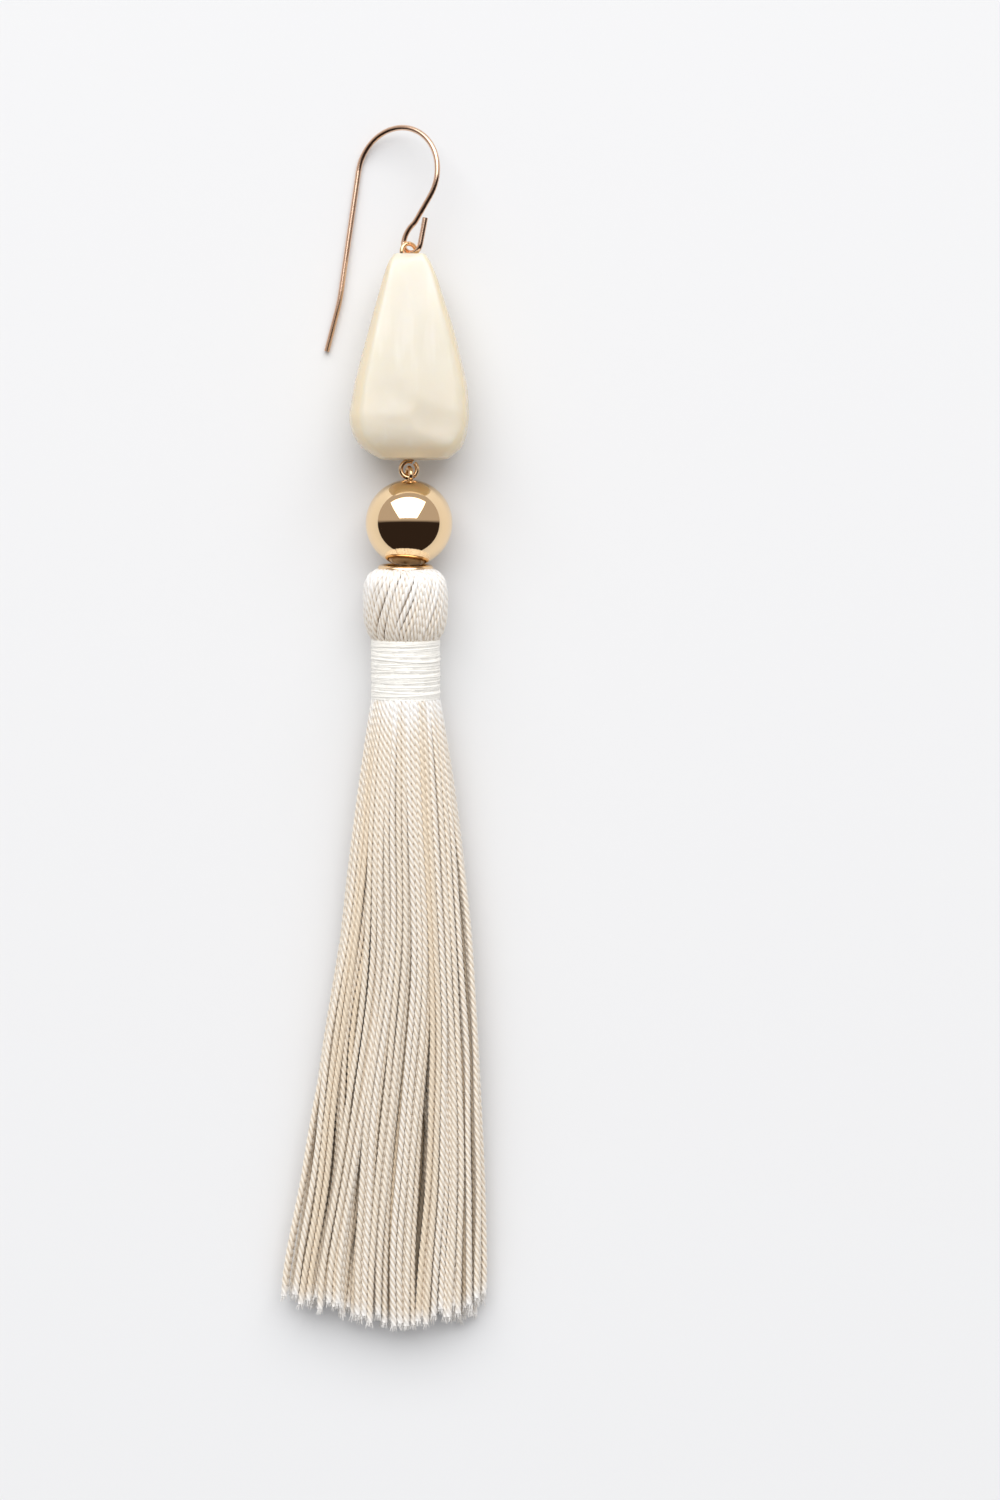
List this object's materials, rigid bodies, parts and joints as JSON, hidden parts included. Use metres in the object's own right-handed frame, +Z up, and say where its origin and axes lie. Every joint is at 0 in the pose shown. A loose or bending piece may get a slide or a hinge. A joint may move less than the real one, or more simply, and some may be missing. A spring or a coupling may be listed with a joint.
{
  "type": "tassel drop earring",
  "caption": "Long drop earring lying flat: ear wire, drilled pear-shaped stone, hollow metal ball, collar ring and a corded tassel with a wound neck.",
  "frame": {"origin": "on the surface it lies on, under the middle of its footprint", "axes": "+Z up from the surface, +Y along the earring towards the ear wire, +X to its right seen from above"},
  "size_m": [0.0222, 0.1391, 0.0103],
  "materials": {
    "gold": "polished",
    "pin_gold": "polished",
    "stone": "polished, milky, slightly translucent",
    "cord": "lustrous twisted cord",
    "thread": "matt fine thread"
  },
  "bodies": {
    "root": {"ear_hook": "gold", "stone_wire": "pin_gold", "stone": "stone", "ball_wire": "pin_gold", "ball_bead": "gold", "collar_ring": "gold", "tassel_cords": "cord", "neck_binding": "thread"}
  },
  "joints": []
}
